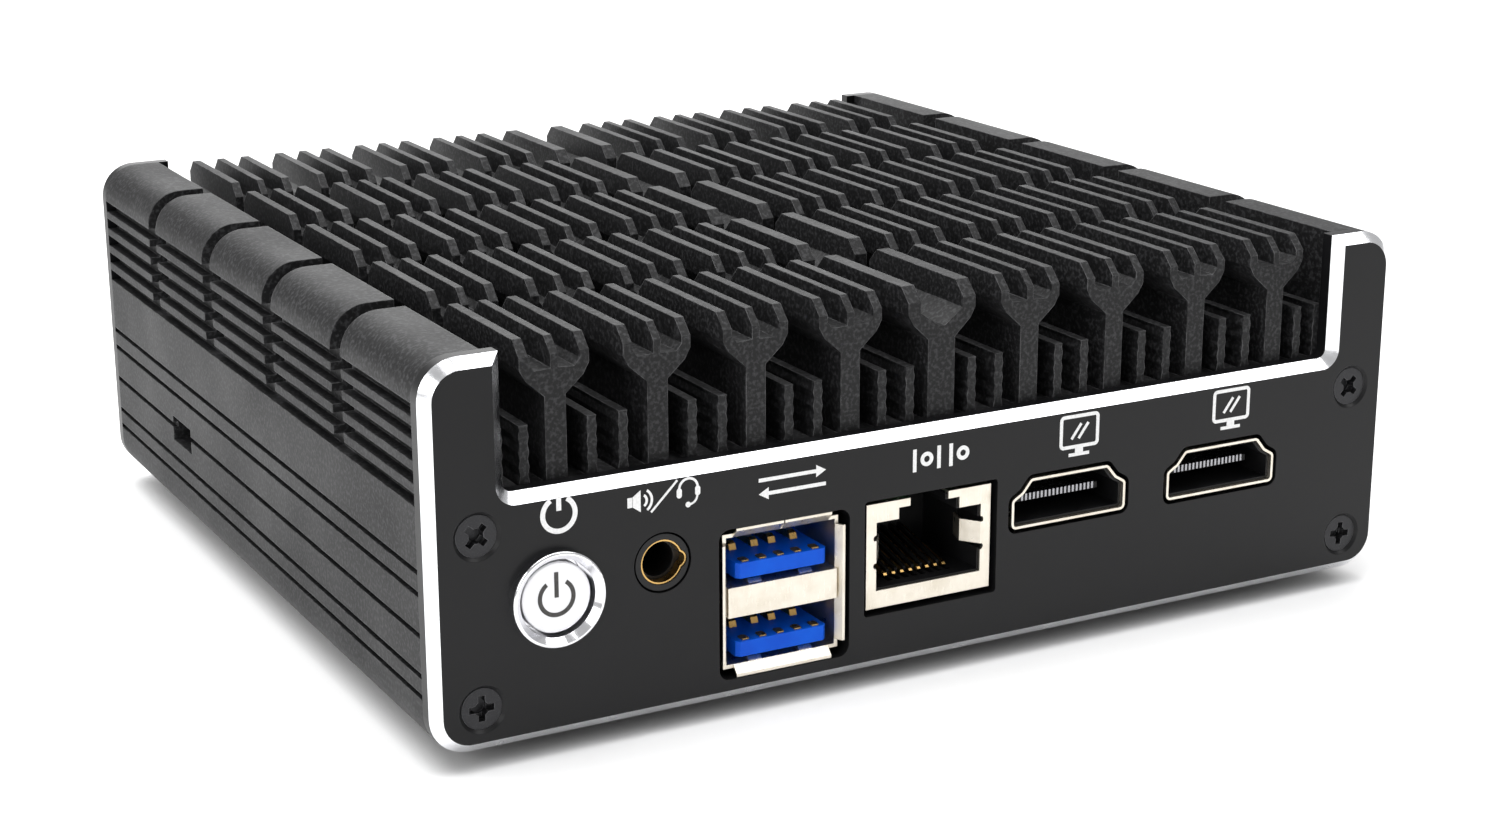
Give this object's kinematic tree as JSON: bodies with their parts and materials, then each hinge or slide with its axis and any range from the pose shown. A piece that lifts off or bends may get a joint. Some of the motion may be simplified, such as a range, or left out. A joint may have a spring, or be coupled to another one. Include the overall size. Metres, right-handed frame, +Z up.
{
  "type": "fanless computer",
  "caption": "Small fanless computer in a finned black aluminium housing, with a power button, audio, data, serial and video sockets on the front.",
  "frame": {"origin": "on the table, under the middle of the object's box", "axes": "+X to the right seen from the front, +Y from the front panel to the rear panel, +Z up"},
  "size_m": [0.115, 0.1087, 0.041],
  "materials": {
    "black_anodised": "bead-blasted black anodised",
    "panel_anodised": "satin black anodised, bright cut edges",
    "black_powder_coat": "fine powder coat",
    "black_rubber": "matt",
    "black_screw": "black oxide",
    "bright_plating": "satin plated",
    "nickel_shell": "nickel plated",
    "gilt_contact": "gold plated",
    "tinned_contact": "tin plated",
    "blue_plastic": "moulded",
    "black_plastic": "moulded",
    "board_laminate": "solder resist",
    "thermal_rubber": "soft gap filler",
    "turned_brass": "machined",
    "plain_steel": "zinc plated"
  },
  "bodies": {
    "computer": {"audio_socket_body": "black_plastic", "audio_socket_ring": "gilt_contact", "board_screws": "plain_steel", "board_standoffs": "turned_brass", "bottom_cover": "black_powder_coat", "bottom_cover_screws": "black_screw", "capacitors": "plain_steel", "coin_cell": "plain_steel", "coin_cell_holder": "black_plastic", "controller_chips": "black_plastic", "dc_inlet_body": "black_plastic", "dc_inlet_pin": "nickel_shell", "drive_card": "board_laminate", "drive_screws": "plain_steel", "drive_socket": "black_plastic", "drive_spacers": "turned_brass", "front_panel": "panel_anodised", "front_panel_screws": "black_screw", "front_usb_contacts": "gilt_contact", "front_usb_insulators": "blue_plastic", "front_usb_shell": "nickel_shell", "heatsink_housing": "black_anodised", "inductors": "black_plastic", "left_network_socket_contacts": "gilt_contact", "left_network_socket_insert": "black_plastic", "left_network_socket_shell": "nickel_shell", "left_video_socket_contacts": "tinned_contact", "left_video_socket_insert": "black_plastic", "left_video_socket_shell": "nickel_shell", "main_board": "board_laminate", "memory_module": "board_laminate", "memory_socket": "black_plastic", "power_button_bezel": "bright_plating", "power_button_nut": "plain_steel", "power_switch_body": "black_plastic", "processor_package": "black_plastic", "rear_panel": "panel_anodised", "rear_panel_screws": "black_screw", "rear_usb_contacts": "gilt_contact", "rear_usb_insulators": "blue_plastic", "rear_usb_shell": "nickel_shell", "right_network_socket_contacts": "gilt_contact", "right_network_socket_insert": "black_plastic", "right_network_socket_shell": "nickel_shell", "right_video_socket_contacts": "tinned_contact", "right_video_socket_insert": "black_plastic", "right_video_socket_shell": "nickel_shell", "rubber_feet": "black_rubber", "serial_socket_contacts": "gilt_contact", "serial_socket_insert": "black_plastic", "serial_socket_shell": "nickel_shell", "thermal_pad": "thermal_rubber"},
    "power_button": {"power_button_cap": "bright_plating", "power_button_clip": "plain_steel", "power_switch_plunger": "black_plastic"}
  },
  "joints": [
    {"name": "power_button_press", "type": "slide", "parent": "computer", "child": "power_button", "axis": [0, 1, 0], "range_m": [0, 0.0008], "stiffness_N_per_m": 600, "springref_m": -0.0025}
  ]
}
